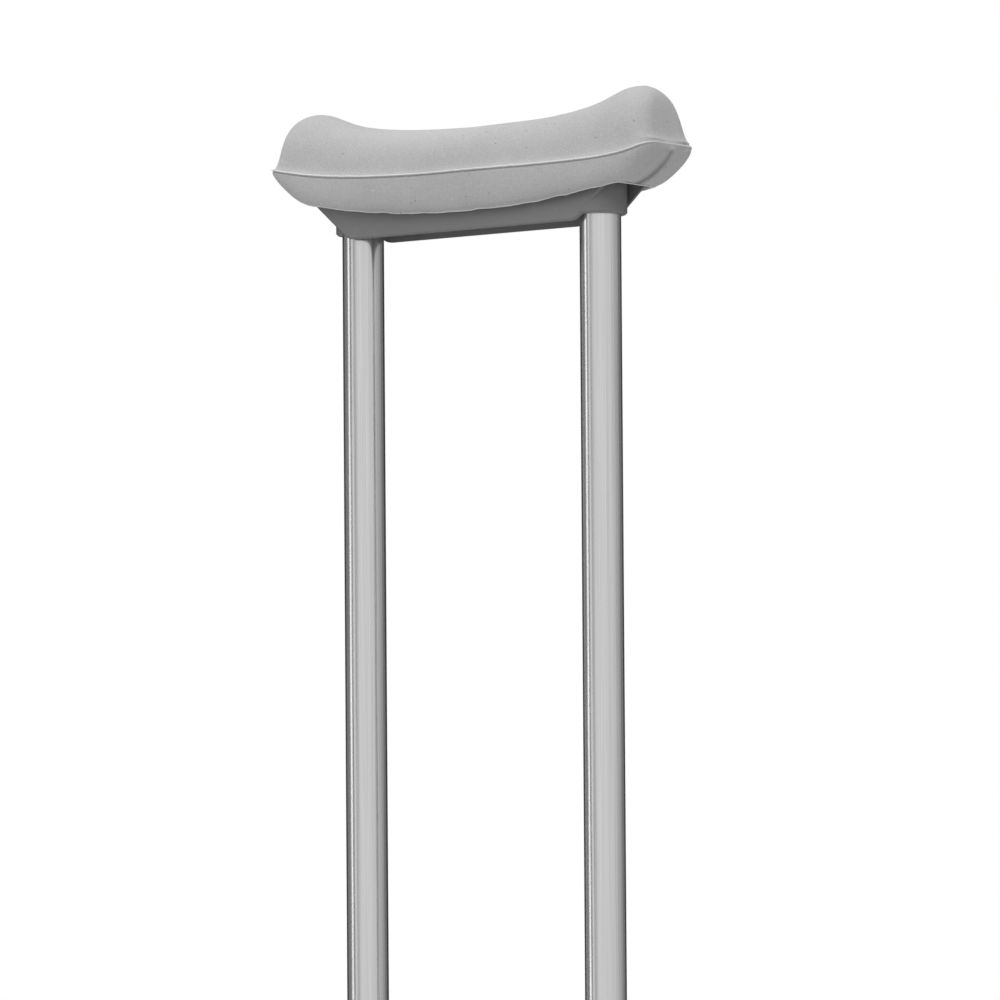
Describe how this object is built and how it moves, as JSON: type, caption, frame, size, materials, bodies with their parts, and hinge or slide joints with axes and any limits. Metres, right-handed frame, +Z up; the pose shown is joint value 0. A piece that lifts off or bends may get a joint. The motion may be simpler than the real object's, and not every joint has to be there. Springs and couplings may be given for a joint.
{
  "type": "underarm crutch",
  "caption": "Underarm crutch with a dipped foam pad on a moulded saddle, bent tube uprights, a bolted handgrip and a telescoping leg with a rubber tip.",
  "frame": {"origin": "middle of the rubber tip's sole, on the floor, under the middle of the whole crutch", "axes": "+Z up along the leg, +X along the underarm pad towards the wing nut, +Y across the pad"},
  "size_m": [0.251, 0.047, 1.44],
  "materials": {
    "pad_foam": "matte sponge rubber with a fine grain",
    "grip_foam": "matte sponge rubber with a fine grain",
    "saddle_plastic": "satin moulded",
    "plug_plastic": "satin moulded",
    "anodised_tube": "clear anodised, satin",
    "plated_steel": "bright plated",
    "spring_steel": "tempered, satin",
    "tip_rubber": "matte moulded rubber"
  },
  "bodies": {
    "leg": {"leg_tube": "anodised_tube", "tip": "tip_rubber", "tip_washer": "plated_steel", "snap_clip": "spring_steel"},
    "button_front": {"button_front": "plated_steel"},
    "button_back": {"button_back": "plated_steel"},
    "frame": {"underarm_pad": "pad_foam", "saddle": "saddle_plastic", "saddle_screws": "plated_steel", "tube_plug_left": "plug_plastic", "tube_plug_right": "plug_plastic", "upright_left": "anodised_tube", "upright_right": "anodised_tube", "upright_cap_left": "plug_plastic", "upright_cap_right": "plug_plastic", "centre_tube": "anodised_tube", "centre_tube_cap": "plug_plastic", "spacers_upper": "plug_plastic", "spacers_lower": "plug_plastic", "frame_rivet_upper": "plated_steel", "frame_rivet_lower": "plated_steel", "mouth_collar": "plug_plastic"},
    "handgrip": {"grip_core": "saddle_plastic", "grip_sleeve": "grip_foam", "grip_bolt": "plated_steel", "grip_washers": "plug_plastic"},
    "wing_nut": {"wing_nut": "plated_steel"}
  },
  "joints": [
    {"name": "height_adjust", "type": "slide", "parent": "leg", "child": "frame", "axis": [0, 0, 1], "range_m": [-0.0762, 0.0762]},
    {"name": "grip_height", "type": "slide", "parent": "frame", "child": "handgrip", "axis": [0, 0, 1], "range_m": [-0.1016, 0.0508]},
    {"name": "wing_nut_spin", "type": "hinge", "parent": "handgrip", "child": "wing_nut", "pos_m": [0.0908, 0, 0.875], "axis": [1, 0, 0], "continuous": true},
    {"name": "button_front_press", "type": "slide", "parent": "leg", "child": "button_front", "axis": [0, 1, 0], "range_m": [0, 0.0043], "stiffness_N_per_m": 2500, "deforming": ["snap_clip"]},
    {"name": "button_back_press", "type": "slide", "parent": "leg", "child": "button_back", "axis": [0, -1, 0], "range_m": [0, 0.0043], "stiffness_N_per_m": 2500, "deforming": ["snap_clip"]}
  ]
}
